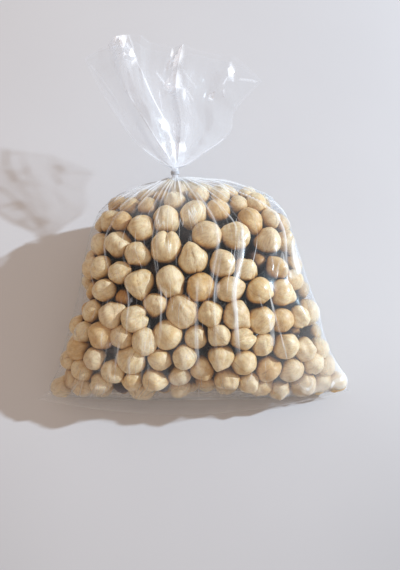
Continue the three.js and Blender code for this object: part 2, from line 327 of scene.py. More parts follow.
def grid_faces(rings, around, closed=True, start=0):
    """Quads of a grid whose points are numbered ring by ring."""
    gaps = around if closed else around - 1
    k, i = np.meshgrid(np.arange(rings - 1), np.arange(gaps), indexing="ij")
    j = (i + 1) % around
    here, ahead = k * around, (k + 1) * around
    return np.stack([here + i, ahead + i, ahead + j, here + j], axis=-1).reshape(-1, 4) + start


# ---- kernels: where they lie --------------------------------------------------------------------

PACK_STEPS = 330
GROW_STEPS = 150
DRAW_OUT = 0.15  # step by which a kernel moves to its depth behind the film
DRAW_DEPTH = 6.0
BEHIND_FRONT = 2.0  # least depth of the other kernels where the film faces the camera
TO_PICTURE = 0.45  # share by which a kernel in the picture moves back to its sight line
LEAST_RADIUS = 5.8
SIZE_RANGE = (0.84, 1.14)  # least and greatest size of a kernel over the usual one
START_LOW = np.array([-74.0, -42.0, 6.0])  # corners of the box that kernels are scattered in
START_HIGH = np.array([70.0, 68.0, 54.0])
PUSH_APART = 0.42  # share of an overlap that each of two kernels moves in a step
FACES_CAMERA = 0.3  # film faces the camera from this much of its normal towards it
SEEN_SIZE = 1.07  # a kernel's size over the one that its picture gives at the film


@lru_cache(maxsize=None)
def container():
    """The smooth body as a search tree for the nearest film."""
    angle = np.linspace(0, 2 * math.pi, 96, endpoint=False)
    grid = body_grid(np.linspace(0, 0.985, 90), angle)
    faces = grid_faces(*grid.shape[:2]).tolist()
    rings, around = grid.shape[:2]
    caps = [list(range(around)), [(rings - 1) * around + i for i in range(around)][::-1]]
    points = [Vector(p) for p in grid.reshape(-1, 3)]
    return BVHTree.FromPolygons(points, faces + caps, all_triangles=False)


def sight_lines():
    """Way from the camera to each kernel of the picture."""
    x, y = np.array([row[:2] for row in FRONT_KERNELS], float).T
    right, up = (x - PICTURE_CENTRE[0]) / FOCAL_PX, (PICTURE_CENTRE[1] - y) / FOCAL_PX
    way = ACROSS * right[:, None] + PICTURE_UP * up[:, None] - CAMERA_BACK
    return way / np.linalg.norm(way, axis=1, keepdims=True)


def front_kernels():
    """Middles and radii of the kernels of the picture, just behind the film, and their depths."""
    tree = container()
    centre, radius = [], []
    ways = sight_lines()
    for way, (_, _, width, depth, *_) in zip(ways, FRONT_KERNELS):
        hit, _, _, far = tree.ray_cast(Vector(CAMERA_PLACE), Vector(way))
        if hit is None:
            far = CAMERA_DISTANCE
        size = max(LEAST_RADIUS, SEEN_SIZE * width / 2 * far / FOCAL_PX)
        centre.append(CAMERA_PLACE + way * (far + size + depth))
        radius.append(size)
    return np.array(centre), np.array(radius), np.array([row[3] for row in FRONT_KERNELS], float), ways


def hold_inside(centre, radius, sunk):
    """Keeps the kernels inside the film and moves the near ones to their depth; returns depths."""
    tree = container()
    depth = np.empty(len(centre))
    for k, (point, r) in enumerate(zip(centre, radius)):
        near, normal, _, _ = tree.find_nearest(Vector(point))
        inward = -(Vector(point) - near).dot(normal)
        wanted = r
        if k < len(sunk):
            wanted += sunk[k]
        elif normal.dot(Vector(CAMERA_BACK)) > FACES_CAMERA:
            wanted += BEHIND_FRONT
        if inward < wanted + DRAW_DEPTH or k < len(sunk):
            inward = max(inward + np.clip(wanted - inward, -DRAW_OUT, 3 * DRAW_OUT), min(wanted, r))
            centre[k] = near - normal * inward
        depth[k] = inward - r
    return depth


@lru_cache(maxsize=None)
def packed_kernels(count, diameter, spread, seed):
    """Middles, radii and depths under the film of kernels packed into the body."""
    rng = np.random.default_rng(seed)
    radius = diameter / 2 * np.clip(rng.normal(1.0, spread, count), *SIZE_RANGE)
    centre = rng.uniform(START_LOW, START_HIGH, (count, 3))
    shown, sizes, sunk, ways = front_kernels()
    centre[: len(shown)], radius[: len(shown)] = shown, sizes
    touch = radius[:, None] + radius[None, :]
    for step in range(PACK_STEPS):
        size = 0.6 + 0.4 * min(1.0, step / GROW_STEPS)
        away = centre[:, None] - centre[None, :]
        distance = np.linalg.norm(away, axis=-1) + np.eye(count) * 1e3
        overlap = np.maximum(touch * size - distance, 0.0)
        centre = centre + (away / distance[..., None] * overlap[..., None] * PUSH_APART).sum(axis=1)
        off = centre[: len(shown)] - CAMERA_PLACE
        off -= (off * ways).sum(axis=1, keepdims=True) * ways
        centre[: len(shown)] -= TO_PICTURE * off
        depth = hold_inside(centre, radius * size, sunk)
    return centre, radius, depth


# ---- kernels: their shape -----------------------------------------------------------------------

FINE_SIDES = 14  # squares along one edge of the cube that a visible kernel is rounded from
COARSE_SIDES = 7
SHOWN_DEPTH = 3.5  # a kernel this near the film shows
# Painted shade: a kernel's colour darkens with its depth behind the film and where other kernels lie
# close.
SHADE_DEPTHS = (3.0, 12.5)  # a kernel's shade grows between these depths behind the film
CROWD_REACH = 6.0  # kernels farther apart than this do not shade each other
CROWD_SHADE = 0.7  # shade added where another kernel lies close
KINDS = (("plump", 0.36), ("pointed", 0.34), ("furrowed", 0.18), ("lobed", 0.12))


@lru_cache(maxsize=None)
def ball(sides):
    """Directions and quads of an evenly divided ball, rounded from a cube."""
    line = np.tan(np.linspace(-1, 1, sides + 1) * math.pi / 4)
    a, b = np.meshgrid(line, line, indexing="ij")
    one = np.ones_like(a)
    patches = [(one, a, b), (-one, b, a), (b, one, a), (a, -one, b), (a, b, one), (b, a, -one)]
    points = np.concatenate([np.stack(p, axis=-1).reshape(-1, 3) for p in patches])
    points /= np.linalg.norm(points, axis=1, keepdims=True)
    faces = np.concatenate(
        [grid_faces(sides + 1, sides + 1, closed=False, start=n * (sides + 1) ** 2) for n in range(6)]
    )
    merged, place = np.unique(np.round(points, 6), axis=0, return_inverse=True)
    return merged, place.reshape(-1)[faces]


def random_turn(rng):
    """A random rotation matrix."""
    q = rng.normal(size=4)
    w, x, y, z = q / np.linalg.norm(q)
    return np.array([
        [1 - 2 * (y * y + z * z), 2 * (x * y - z * w), 2 * (x * z + y * w)],
        [2 * (x * y + z * w), 1 - 2 * (x * x + z * z), 2 * (y * z - x * w)],
        [2 * (x * z - y * w), 2 * (y * z + x * w), 1 - 2 * (x * x + y * y)],
    ])


def turn_in_picture(degrees, rng):
    """A rotation that points a kernel's tip along the picture and a little to the camera."""
    angle, lean = math.radians(degrees), rng.uniform(0.1, 0.5)
    tip = ACROSS * math.cos(angle) + PICTURE_UP * math.sin(angle) + CAMERA_BACK * lean
    tip /= np.linalg.norm(tip)
    side = np.cross(tip, CAMERA_BACK)
    side /= np.linalg.norm(side)
    return np.stack([side, np.cross(tip, side), tip], axis=1)


def soft_min(a, b, hardness):
    """The lesser of two values, with a rounded change from one to the other."""
    return -np.log(np.exp(-hardness * a) + np.exp(-hardness * b)) / hardness


def furrow(azimuth, at, width):
    """One at the furrow's line and falling off to nothing beside it."""
    off = np.angle(np.exp(1j * (azimuth - at)))
    return np.exp(-((off / width) ** 2))


def cut(reach, way, flat, distance, hardness=22.0):
    """The reach, cut off softly by a plane at a distance along the direction flat."""
    facing = way @ flat
    face = np.where(facing > 0.05, distance / np.maximum(facing, 0.05), 9.0)
    return soft_min(reach, face, hardness)


def kernel_reach(way, kind, rng):
    """Distance from a kernel's middle to its surface along each direction, for radius 1.

    The tip points to +Z, and the seam between the two halves lies in the plane X = 0.
    """
    x, y, z = way.T
    polar = np.arccos(np.clip(z, -1, 1))
    azimuth = np.arctan2(y, x)
    wide, deep = rng.uniform(0.93, 1.04), rng.uniform(0.93, 1.04)
    tall = rng.uniform(0.9, 1.08)
    reach = 1 / np.sqrt((x / wide) ** 2 + (y / deep) ** 2 + (z / tall) ** 2)
    sides = rng.integers(2, 4)
    depth, phase = rng.uniform(0.01, 0.045), rng.uniform(0, 6.3)
    reach *= 1 + depth * np.cos(sides * azimuth + phase) * np.sin(polar) ** 2
    tip = rng.uniform(0.2, 0.34) if kind == "pointed" else rng.uniform(0.0, 0.14)
    reach += tip * np.exp(-((polar / 0.36) ** 1.25))
    reach -= 0.35 * tip * np.exp(-(((polar - 0.85) / 0.4) ** 2))
    reach -= rng.uniform(0.03, 0.11) * np.exp(-(((math.pi - polar) / 0.6) ** 2))
    reach -= rng.uniform(0.0, 0.05) * np.exp(-((x / 0.09) ** 2)) * smooth(np.sin(polar), 0.1, 0.6)
    if kind == "lobed":
        opening = rng.uniform(0.16, 0.3)
        reach -= opening * np.exp(-((x / rng.uniform(0.13, 0.2)) ** 2)) * smooth(z, -0.1, 0.9)
        reach += 0.07 * np.exp(-(((np.abs(x) - 0.5) / 0.25) ** 2)) * smooth(z, 0.0, 0.8)
    least, most, count = (0.05, 0.12, 3) if kind == "furrowed" else (0.01, 0.045, 2)
    for _ in range(count + rng.integers(0, 3)):
        at, width = rng.uniform(-math.pi, math.pi), rng.uniform(0.12, 0.26)
        first, last = rng.uniform(0.0, 0.5), rng.uniform(2.1, 3.1)
        window = smooth(polar, first, 1.1) * (1 - smooth(polar, 1.8, last))
        reach -= rng.uniform(least, most) * furrow(azimuth, at, width) * window
    for _ in range(rng.integers(4, 8)):
        reach = cut(reach, way, random_turn(rng)[0], rng.uniform(0.78, 0.96), 30.0)
    for _ in range(6):
        wave = rng.normal(size=3) * rng.uniform(1.6, 5.5)
        reach += rng.uniform(0.003, 0.014) * np.sin(way @ wave + rng.uniform(0, 6.3))
    return reach / np.cbrt((reach**3).mean())


def depth_of_points(points, centre, inward):
    """Depth of a kernel's points behind the nearest film or behind the film over them."""
    outward = np.array(container().find_nearest(Vector(centre))[1])
    over = container().ray_cast(Vector(centre), Vector(CAMERA_BACK))[3]
    depth = inward - points @ outward
    return depth if over is None else np.minimum(depth, over - points @ CAMERA_BACK)


def crowding(points, k, centre, radius):
    """How far the other kernels shut in each point of kernel k, from 0 to 1."""
    apart = np.linalg.norm(centre - centre[k], axis=1)
    near = np.flatnonzero((apart > 0) & (apart < radius + radius[k] + CROWD_REACH))
    outward = (points - centre[k]) / np.linalg.norm(points - centre[k], axis=1, keepdims=True)
    way = centre[near] - points[:, None]
    far = np.linalg.norm(way, axis=2)
    facing = np.einsum("pnk,pk->pn", way, outward) / far
    return np.clip((np.maximum(facing, 0) * (radius[near] / far) ** 2).sum(axis=1), 0, 1)


@lru_cache(maxsize=None)
def shaped_kernels(count, diameter, spread, seed):
    """Points, faces and point values of the kernels, joined into one set for each kind."""
    centre, radius, depth = packed_kernels(count, diameter, spread, seed)
    names, shares = zip(*KINDS)
    kinds = np.random.default_rng(seed + 1).choice(len(KINDS), count, p=shares)
    # The entry depth holds each point's painted shade, not its depth.
    parts = ("co", "faces", "way", "start", "tone", "depth")
    made = {name: {part: [] for part in parts} for name in names}
    for k in range(count):
        rng = np.random.default_rng((seed, k))
        shown = depth[k] < SHOWN_DEPTH and centre[k][2] > 14.0
        way, faces = ball(FINE_SIDES if shown else COARSE_SIDES)
        name, turn = names[kinds[k]], random_turn(rng)
        if k < len(FRONT_KERNELS) and len(FRONT_KERNELS[k]) > 4:
            name, degrees = FRONT_KERNELS[k][4:]
            turn = turn_in_picture(degrees, rng)
        reach = kernel_reach(way, name, rng)
        points = (way * reach[:, None] * radius[k]) @ turn.T + centre[k]
        points[:, 2] = np.maximum(points[:, 2], 0.3)
        out = made[name]
        out["faces"].append(faces + sum(len(c) for c in out["co"]))
        out["co"].append(points)
        out["way"].append(way)
        out["start"].append(np.tile(rng.uniform(-40, 40, 3), (len(way), 1)))
        out["tone"].append(np.full(len(way), rng.uniform()))
        # Painted shade from depth behind the film and from kernels close round each point.
        under = depth_of_points(points - centre[k], centre[k], depth[k] + radius[k])
        shade = smooth(under, *SHADE_DEPTHS)
        shade = shade + CROWD_SHADE * smooth(crowding(points, k, centre, radius), 0.15, 0.95)
        out["depth"].append(np.clip(shade, 0, 1))
    return {name: {key: np.concatenate(v) for key, v in out.items()} for name, out in made.items()}


def kernels_from(settings):
    """The shaped kernels that the panel's settings ask for."""
    return shaped_kernels(settings.count, settings.diameter / MM, settings.spread, settings.seed)


# ---- film: contact, creases and folds -----------------------------------------------------------


RAY_START = 3.0  # height above the smooth film from which kernels are looked for
FILM_CLEAR = 0.15  # kept between the film and a kernel's surface
DRAW_STEPS = 700  # steps in which the film is drawn tight
TIGHT_ALONG = 1.8  # pull along the bag against the pull round it
UNDERSIDE = 7.0  # added to the crease place of film that faces down
NECK_VEIL = 0.3  # milkiness of the film by the neck
LOW_VEIL = 0.24  # milkiness of the film by the sealed end


def kernel_heights(grid, normal, kernels, deepest):
    """Height of the kernels under each point of the smooth film, measured along its normal."""
    points, faces, count = [], [], 0
    for part in kernels.values():
        points.append(part["co"])
        faces.append(part["faces"] + count)
        count += len(part["co"])
    tree = BVHTree.FromPolygons(np.concatenate(points).tolist(), np.concatenate(faces).tolist())
    height = np.full(grid.shape[:2], -deepest)
    for place in np.ndindex(height.shape):
        out = Vector(normal[place])
        hit = tree.ray_cast(Vector(grid[place]) + out * RAY_START, -out, RAY_START + deepest)
        if hit[0] is not None:
            height[place] = RAY_START - hit[3] + FILM_CLEAR
    return height


def draw_tight(grid, floor_height, settings):
    """Height over the smooth film of film that is drawn tight over the kernels."""
    around = np.linalg.norm(np.roll(grid, -1, axis=1) - grid, axis=-1) + 0.05
    along = np.linalg.norm(np.gradient(grid, axis=0), axis=-1) + 0.05
    pull_round = 1 / around**2
    pull_along = TIGHT_ALONG / along**2
    whole = 2 * (pull_round + pull_along)
    press = settings.press / MM
    height = np.maximum(np.zeros_like(floor_height), floor_height)
    for _ in range(DRAW_STEPS):
        side = (np.roll(height, 1, axis=1) + np.roll(height, -1, axis=1)) * pull_round
        ends = np.zeros_like(height)
        ends[1:-1] = (height[2:] + height[:-2]) * pull_along[1:-1]
        height[1:-1] = np.maximum(((side + ends - press) / whole)[1:-1], floor_height[1:-1])
        height[0] = height[-1] = 0.0
    return height


def crease_places(grid, upper):
    """Place across the creases, distance from the neck and millimetres per unit of place.

    Creases run straight out from the neck near it, and along the bag farther away.
    """
    off = grid - NECK
    far = np.linalg.norm(off, axis=-1)
    straight = np.arctan2(off[..., 0], 4.0 - off[..., 1])
    column = straight[int(len(grid) * 0.6)][None, :]
    place = straight + (column - straight) * smooth(far, 36.0, 84.0)
    step = np.linalg.norm(np.gradient(grid, axis=1), axis=-1) + 1e-3
    across = np.abs(np.gradient(place, axis=1)) / step
    span = np.clip(1 / np.maximum(across, 1e-3), 3.0, 90.0)
    return place + np.where(upper, 0.0, UNDERSIDE)[None, :], far, span


def crease_height(place, far, span, rng, settings):
    """Ridges that run down the film, the first ones from the neck: their height and milkiness."""
    height, milk = np.zeros_like(place), np.zeros_like(place)
    for number in range(settings.creases):
        at = rng.triangular(-1.9, 1.2, 1.9) + UNDERSIDE * (rng.uniform() < 0.2)
        start, length = rng.uniform(2, 90), rng.uniform(8, 45)
        if number < settings.strands:
            at = -1.5 + 3.0 * (number + rng.uniform(0, 1)) / settings.strands
            start, length = 0.0, rng.uniform(8, 24) + 12 * abs(at)
        sway = 0.02 * rng.normal() * np.sin(far / rng.uniform(20, 40) + rng.uniform(0, 6))
        width, top = rng.uniform(0.35, 0.8), rng.uniform(0.3, 1.0)
        off = (place - at - sway) * span
        end = start + length
        run = smooth(far, start, start + 8) * (1 - smooth(far, end, end + 0.4 * length + 6))
        small = np.minimum(1.0, span / 14.0)
        ridge = small * run * np.exp(-((off / (width * small)) ** 2))
        height = np.maximum(height, top * ridge * settings.crease_height / MM)
        # Creases on the side that faces the key light are made milkier: partly real haze, partly
        # painted highlight.
        milk = np.maximum(milk, (rng.uniform(0.1, 0.5) + 0.3 * (at > 0.7)) * ridge)
    return height, milk


def body_film(settings, kernels):
    """Film of the fin, the filled body and the neck, with its point values, as one open tube."""
    rng = np.random.default_rng(settings.seed)
    split = settings.around * 4 // 5
    upper = np.linspace(0, math.pi, split, endpoint=False)
    lower = np.linspace(math.pi, 2 * math.pi, settings.around - split, endpoint=False)
    angle = np.concatenate([upper, lower])
    t = np.linspace(0, 1, settings.rings)
    grid = body_grid(t, angle)
    normal = grid_normals(grid)
    held = (smooth(t, 0.0, 0.05) * (1 - smooth(t, 0.95, 1.0)))[:, None]
    floor_height = kernel_heights(grid, normal, kernels, settings.sag / MM) * held
    tight = draw_tight(grid, floor_height, settings)
    place, far, span = crease_places(grid, angle < math.pi)
    creases, milk = crease_height(place, far, span, rng, settings) * smooth(t, 0.02, 0.1)[:, None]
    moved = grid + normal * (tight + creases)[..., None]
    moved[..., 2] = np.maximum(moved[..., 2], 0.02)
    whole = np.concatenate([fin_grid(grid[0], angle), moved, neck_end(angle)])

    # Three rings of fin come before the body's rings, and three of the neck after them.
    pad = ((3, 3), (0, 0))
    seal = np.exp(-((t / 0.13) ** 2))[:, None]
    haze = 0.16 * np.exp(-((t / 0.1) ** 2)) + 0.5 * np.exp(-(((t - 0.008) / 0.009) ** 2))
    haze = np.concatenate([[0.1, 0.01, 0.04], haze, [0.45, 0.5, 0.5]])[:, None]
    # Milkiness of the flanks is strong where the film faces the key light and weak in its shade: partly
    # real haze, partly a painted sheen.
    lit = 0.05 + 0.95 * smooth(normal[..., 0] + 0.25 * normal[..., 1], -0.2, 0.8)
    lit = lit * smooth(normal[..., 2], -0.35, 0.1)
    flank = settings.veil * lit * (1 - np.clip(normal[..., 2], 0, 1)) ** 1.2
    patchy = 0.6 + 0.25 * np.sin(6.1 * place + 1.0) + 0.15 * np.sin(14.3 * place)
    low_veil = LOW_VEIL * np.exp(-((t / 0.2) ** 2))[:, None] * patchy
    veil = NECK_VEIL * np.exp(-((far / 32.0) ** 2)) + flank + low_veil
    filled = np.concatenate([[0.1, 0.1, 0.3], np.ones(len(t) + 3)])[:, None]
    streak = 0.4 + 0.4 * np.exp(-((far / 45.0) ** 2)) - 0.2 * seal
    streak = streak + 0.5 * smooth(np.abs(place), 0.6, 1.2)
    values = {
        "film_haze": haze + np.pad(veil + milk, pad),
        "film_streak": np.pad(streak, pad, "edge") * filled,
        "film_crumple": np.pad(0.2 * seal + 0.1 + 0 * far, pad, "edge") * filled,
        "film_painted_glint": 0 * np.pad(far, pad),
        "film_way": np.stack([np.pad(field, pad, "edge") for field in (place, far, span)], axis=-1),
    }
    return whole, values


def fin_grid(first, angle):
    """Rings of the sealed fin, from its outer edge to just before the body's first ring."""
    rails = []
    for left, right, (y, z) in FIN_SECTIONS:
        left, right = np.array(left, float), np.array(right, float)
        chord = (left + right) / 2
        middle = np.array([chord[0], y, z])
        u = np.cos(angle)[:, None]
        side = np.sign(np.sin(angle)) * np.abs(np.sin(angle)) ** 0.25
        line = chord + (right - left) / 2 * u + (middle - chord) * (1 - u * u)
        rails.append(line + np.array([0, 0, 1.0]) * (side * FIN_HALF)[:, None])
    outer, seal = rails
    return np.stack([outer, outer * 0.45 + seal * 0.55, seal * 0.97 + first * 0.03])


def neck_end(angle):
    """Rings of the straight neck under the tie."""
    rings = []
    for along in (-1.2, 1.2, NECK_HALF_LENGTH):
        centre = NECK + NECK_AXIS * along
        pleat = 1 + 0.06 * np.sin(angle * NECK_PLEATS)
        rings.append(
            centre
            + ACROSS * (np.cos(angle) * pleat * NECK_RADIUS)[:, None]
            + NECK_UP * (np.sin(angle) * pleat * NECK_RADIUS)[:, None]
        )
    return np.stack(rings)


def segment_distance(x, y, start, end):
    """Distance of each point from the straight line between two points."""
    (x0, y0), (x1, y1) = start, end
    along = ((x - x0) * (x1 - x0) + (y - y0) * (y1 - y0)) / ((x1 - x0) ** 2 + (y1 - y0) ** 2)
    along = np.clip(along, 0, 1)
    return np.hypot(x - x0 - along * (x1 - x0), y - y0 - along * (y1 - y0))


def mouth_grid(settings, layer):
    """One sheet of the spread mouth as a grid [ring, place across], from neck to rim."""
    rng = np.random.default_rng(settings.seed + 20 + layer)
    v = np.linspace(0, 1, settings.mouth_rings)[:, None]
    even = np.linspace(-1, 1, settings.mouth_across)[None, :]
    neck = neck_ring(NECK_HALF_LENGTH)
    left = spline([neck[0], *MOUTH_LEFT], v[:, 0])[:, None, :]
    right = spline([neck[1], *MOUTH_RIGHT], v[:, 0])[:, None, :]
    bundle = 1 - smooth(v, 0.0, 0.22)
    u = even * (1 - bundle) + np.sin(even * math.pi / 2) * bundle
    half = np.linalg.norm(right - left, axis=-1) / 2
    x, y = u * half, v * MOUTH_LENGTH + 0 * u

    folds = np.array(FRONT_FOLDS if layer > 0 else BACK_FOLDS)
    height = np.interp(u, folds[:, 0], folds[:, 1]) * smooth(v, 0, 0.8)
    facets = np.zeros_like(x)
    for _ in range(settings.facets):
        turn = rng.normal(0.0, 0.9)
        at = rng.uniform(-45, 45), rng.uniform(12, 75)
        off = (x - at[0]) * math.cos(turn) + (y - at[1]) * math.sin(turn)
        run = (y - at[1]) * math.cos(turn) - (x - at[0]) * math.sin(turn)
        wide, slope = rng.uniform(3, 9), rng.uniform(0.05, 0.22) * rng.choice((-1, 1))
        length = rng.uniform(8, 22)
        facets += slope * (np.minimum(np.abs(off), wide) - wide) * np.exp(-((run / length) ** 2))
    height = height + facets * smooth(v, 0.1, 0.45)

    milk = np.zeros_like(x)
    if layer > 0:
        for (u0, v0), (u1, v1), wide, strength in MOUTH_CREASES:
            scale = np.interp((v0 + v1) / 2, v[:, 0], half[:, 0])
            ends = (u0 * scale, v0 * MOUTH_LENGTH), (u1 * scale, v1 * MOUTH_LENGTH)
            ridge = np.exp(-((segment_distance(u * scale, y, *ends) / wide) ** 2))
            height = height + 0.35 * wide * ridge
            milk = np.maximum(milk, strength * ridge)
    gap = NECK_RADIUS * bundle * np.sqrt(np.clip(1 - even**2, 0, 1))
    gap = gap + (0.3 + 0.9 * smooth(v, 0.1, 0.9)) * (1 - even**2) * (1 - bundle)
    rim = MOUTH_BOW + 1.2 * layer + 0.6 * np.sin(9 * u + 2 * layer) + 1.5 * np.interp(u, *folds.T) / 5
    out = rim * (1 - np.clip(np.abs(u), 0, 1) ** 4) * v**3
    base = left * (1 - u[..., None]) / 2 + right * (1 + u[..., None]) / 2
    points = base + MOUTH_OUT * out[..., None] + MOUTH_UP * (height + layer * gap)[..., None]

    strip = np.array(MOUTH_STRIP)
    left_edge, right_edge = (np.interp(v, strip[:, 0], strip[:, k]) for k in (1, 2))
    past_left = smooth(u, left_edge - 0.02, left_edge + 0.02)
    past_right = smooth(u, right_edge - 0.02, right_edge + 0.02)
    in_strip = past_left * (1 - past_right)
    middle = past_right * (1 - smooth(u, 0.2, 0.5)) * (1 - smooth(v, 0.7, 0.95))
    # Painted glints: patches where the film is painted white and shinier.
    painted_glint = np.zeros_like(x)
    for across, along, wide, strength in MOUTH_PAINTED_GLINTS:
        scale = np.interp(along, v[:, 0], half[:, 0])
        off = np.hypot(u * scale - across * scale, y - along * MOUTH_LENGTH)
        painted_glint = np.maximum(painted_glint, strength * (1 - smooth(off, 0.5 * wide, 1.1 * wide)))
    hem = np.maximum(smooth(v, 0.98, 1.0) + 0 * u, smooth(np.abs(u), 0.975, 1.0))
    haze = 0.02 + 0.42 * np.exp(-v / 0.25) + 0.07 * in_strip + 0.09 * middle + 0.04 * hem
    ones = np.ones_like(x)
    values = {
        "film_haze": haze + milk,
        "film_streak": (0.04 + 0.7 * np.exp(-v / 0.2)) * ones + 0.2 * in_strip + 0.2 * middle,
        "film_crumple": np.maximum(0.12 + 0.3 * in_strip + 0.5 * middle, painted_glint) * smooth(v, 0.05, 0.2),
        "film_painted_glint": painted_glint * (1.0 if layer > 0 else 0.3),
        "film_way": np.stack([1.5 * even + 3.7 * layer + 0 * x, y, half / 1.5 * ones], axis=-1),
    }
    return points, values


# ---- tie ----------------------------------------------------------------------------------------

TIE_TURNS = 3.35
TIE_THREAD = 0.38  # radius of the elastic thread
TIE_STEPS = 150
TIE_SIDES = 12


def tie_path():
    """Middle line of the elastic thread: turns round the neck."""
    turn = np.linspace(0, TIE_TURNS, TIE_STEPS)
    angle = 2 * math.pi * turn + 2.2
    rise = (turn / TIE_TURNS - 0.5) * 1.6 + 0.12 * np.sin(3 * angle)
    reach = NECK_RADIUS + TIE_THREAD * (0.92 + 0.18 * np.sin(angle * 1.3 + 1))
    path = (
        NECK
        + ACROSS * (np.cos(angle) * reach)[:, None]
        + NECK_UP * (np.sin(angle) * reach)[:, None]
        + NECK_AXIS * rise[:, None]
    )
    return path


def tube(path, radius, sides):
    """Tube along a path, closed at both ends: points and faces."""
    ahead = np.gradient(path, axis=0)
    ahead /= np.linalg.norm(ahead, axis=1, keepdims=True)
    side = np.cross(ahead, NECK_AXIS)
    side /= np.linalg.norm(side, axis=1, keepdims=True)
    up = np.cross(side, ahead)
    angle = np.linspace(0, 2 * math.pi, sides, endpoint=False)
    ring = np.cos(angle)[None, :, None] * side[:, None] + np.sin(angle)[None, :, None] * up[:, None]
    steps = len(path)
    points = (path[:, None] + ring * radius).reshape(-1, 3)
    faces = grid_faces(steps, sides).tolist()
    caps = [list(range(sides)), list(range((steps - 1) * sides, steps * sides))[::-1]]
    return points, faces + caps


# ---- meshes and materials -----------------------------------------------------------------------


def make_object(name, points_mm, faces):
    """Smooth-shaded mesh object at the frame's origin from layout points in millimetres."""
    mesh = bpy.data.meshes.new(name)
    mesh.from_pydata(placed(points_mm).tolist(), [], [list(map(int, f)) for f in faces])
    mesh.shade_smooth()
    mesh.update()
    obj = bpy.data.objects.new(name, mesh)
    bpy.context.scene.collection.objects.link(obj)
    return obj


def point_value(obj, name, values):
    """Stores one number, or one vector, for each vertex."""
    values = np.asarray(values, np.float32)
    kind = "FLOAT_VECTOR" if values.ndim == 2 else "FLOAT"
    layer = obj.data.attributes.new(name, kind, "POINT")
    layer.data.foreach_set("vector" if values.ndim == 2 else "value", values.ravel())


def film_values(obj, sheets):
    """Stores the film's point values, sheet after sheet."""
    for name in sheets[0]:
        values = np.concatenate([sheet[name].reshape(-1, *sheet[name].shape[2:]) for sheet in sheets])
        point_value(obj, name, values)


class Nodes:
    """A short way to add and join a material's nodes."""

    def __init__(self, material):
        material.use_nodes = True
        self.tree = material.node_tree
        self.tree.nodes.clear()

    def add(self, kind, inputs=None, **fields):
        """New node with its inputs set to values or joined to other nodes."""
        node = self.tree.nodes.new("ShaderNode" + kind)
        for name, value in fields.items():
            setattr(node, name, value)
        for name, value in (inputs or {}).items():
            if isinstance(value, bpy.types.NodeSocket):
                self.tree.links.new(value, node.inputs[name])
            else:
                node.inputs[name].default_value = value
        return node

    def math(self, operation, a, b=0.0, clamp=False):
        """Result of one sum on two values."""
        return self.add("Math", {0: a, 1: b}, operation=operation, use_clamp=clamp).outputs[0]

    def value(self, name):
        """Node that reads a point value of the mesh."""
        return self.add("Attribute", attribute_name=name)

    def span(self, value, low, high, start=0.0, end=1.0):
        """Value from low to high as a smooth step from start to end."""
        return self.add(
            "MapRange", {0: value, 1: low, 2: high, 3: start, 4: end}, interpolation_type="SMOOTHSTEP"
        ).outputs[0]

    def ramp(self, factor, stops):
        """Colour that the factor picks between the stops."""
        node = self.add("ValToRGB", {"Fac": factor})
        while len(node.color_ramp.elements) < len(stops):
            node.color_ramp.elements.new(0.5)
        for element, (place, colour) in zip(node.color_ramp.elements, stops):
            element.position = place
            element.color = (*colour, 1.0) if len(colour) == 3 else colour
        return node.outputs["Color"]

    def mix(self, factor, a, b, blend="MIX"):
        """Two colours mixed."""
        node = self.add("Mix", {0: factor}, data_type="RGBA", blend_type=blend)
        for socket, value in ((node.inputs[6], a), (node.inputs[7], b)):
            if isinstance(value, bpy.types.NodeSocket):
                self.tree.links.new(value, socket)
            else:
                socket.default_value = (*value, 1.0)
        return node.outputs[2]

    def noise(self, vector, scale, detail=4.0, roughness=0.55, distortion=0.0):
        """Noise, about 0.5 on average."""
        return self.add(
            "TexNoise",
            {
                "Vector": vector,
                "Scale": scale,
                "Detail": detail,
                "Roughness": roughness,
                "Distortion": distortion,
            },
        ).outputs["Fac"]

    def output(self, surface):
        node = self.add("OutputMaterial")
        self.tree.links.new(surface, node.inputs["Surface"])


def grey(value):
    """A grey of this brightness."""
    return (value, value, value)


# What a kernel's colour is multiplied by: for its own tone, and for the painted shade of its depth in
# the bag and of kernels close by.
OWN_TONES = (
    (0.0, (0.86, 0.78, 0.70)), (0.3, grey(1.0)), (0.75, (1.0, 0.96, 0.88)), (1.0, (0.88, 0.76, 0.6)),
)
PAINTED_SHADES = (
    (0.0, grey(1.0)), (0.2, (0.85, 0.74, 0.56)), (0.45, (0.66, 0.48, 0.3)),
    (0.8, (0.13, 0.07, 0.06)), (1.0, (0.05, 0.025, 0.035)),
)

FOLD_CELLS = (240.0, 120.0, 130.0)  # flat facets of the crumpled film, in cells a metre
MILK_FRONT = (0.93, 0.96, 1.0)
MILK_BEHIND = (0.22, 0.25, 0.32)
# Back-lit milk is much brighter in the painted glints: a painted highlight.
PAINTED_GLINT_BEHIND = (0.9, 0.93, 1.0)
GLOSS = (0.8, 0.92, 1.0)


